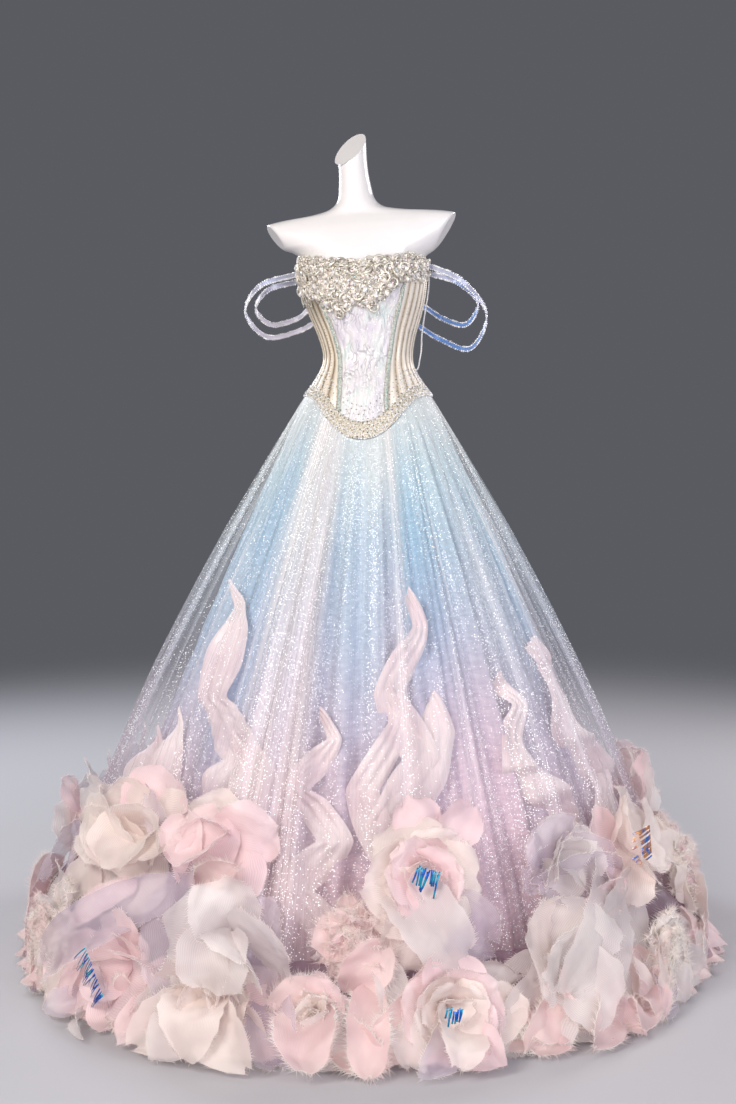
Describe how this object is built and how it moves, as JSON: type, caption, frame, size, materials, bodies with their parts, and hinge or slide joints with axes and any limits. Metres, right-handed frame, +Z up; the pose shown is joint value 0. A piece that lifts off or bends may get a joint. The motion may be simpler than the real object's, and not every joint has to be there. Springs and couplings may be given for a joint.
{
  "type": "ball gown on dress form",
  "caption": "Strapless corset ball gown with drop straps, a gathered glitter skirt under sheer tulle and a border of organza flowers, standing on a white limbless dress form.",
  "frame": {"origin": "centre of the stand's flat foot, on the floor, under the waist of the gown", "axes": "+Z up, -Y the way the front of the gown faces, +X towards the wearer's left side"},
  "size_m": [1.4399, 1.4575, 1.6794],
  "materials": {
    "form_gloss": "smooth white gloss shell",
    "stand_steel": "satin steel",
    "bodice_silk": "crumpled iridescent silk organza over a plain ground",
    "bodice_boned": "champagne satin with stitched boning channels and rows of small beads",
    "bead_silver": "dense silver and pale gold beads, sequins and pearls sewn on net",
    "strap_ribbon": "blue white ribbon edged with beads",
    "skirt_glitter": "fine glitter fabric, aqua and blue above, lilac and pink towards the hem",
    "overlay_tulle": "sheer soft tulle",
    "organza_pink": "crisp pale pink organza with frayed edges",
    "film_blue": "iridescent blue film cut in strands"
  },
  "bodies": {
    "root": {"basque_band": "bead_silver", "bead_strand": "bead_silver", "bodice_back_left": "bodice_boned", "bodice_back_right": "bodice_boned", "bodice_center_front": "bodice_silk", "bodice_side_back_left": "bodice_boned", "bodice_side_back_right": "bodice_boned", "bodice_side_front_left": "bodice_boned", "bodice_side_front_right": "bodice_boned", "dress_form": "form_gloss", "film_tuft_1": "film_blue", "film_tuft_2": "film_blue", "film_tuft_3": "film_blue", "film_tuft_4": "film_blue", "flounce_back": "organza_pink", "flounce_front": "organza_pink", "hem_flower_01": "organza_pink", "hem_flower_02": "organza_pink", "hem_flower_03": "organza_pink", "hem_flower_04": "organza_pink", "hem_flower_05": "organza_pink", "hem_flower_06": "organza_pink", "hem_flower_07": "organza_pink", "hem_flower_08": "organza_pink", "hem_flower_09": "organza_pink", "hem_flower_10": "organza_pink", "hem_flower_11": "organza_pink", "hem_flower_12": "organza_pink", "hem_flower_13": "organza_pink", "hem_flower_14": "organza_pink", "hem_flower_15": "organza_pink", "hem_flower_16": "organza_pink", "hem_flower_17": "organza_pink", "hem_flower_18": "organza_pink", "hem_flower_19": "organza_pink", "hem_flower_20": "organza_pink", "neckline_applique": "bead_silver", "neckline_trim_back": "bead_silver", "organza_strip_01": "organza_pink", "organza_strip_02": "organza_pink", "organza_strip_03": "organza_pink", "organza_strip_04": "organza_pink", "organza_strip_05": "organza_pink", "organza_strip_06": "organza_pink", "organza_strip_07": "organza_pink", "overlay_back": "overlay_tulle", "overlay_front": "overlay_tulle", "overlay_side_left": "overlay_tulle", "overlay_side_right": "overlay_tulle", "princess_trim_left": "bead_silver", "princess_trim_right": "bead_silver", "skirt_back": "skirt_glitter", "skirt_front": "skirt_glitter", "skirt_side_left": "skirt_glitter", "skirt_side_right": "skirt_glitter", "stand": "stand_steel", "strap_inner_left": "strap_ribbon", "strap_inner_right": "strap_ribbon", "strap_outer_left": "strap_ribbon", "strap_outer_right": "strap_ribbon"}
  },
  "joints": []
}
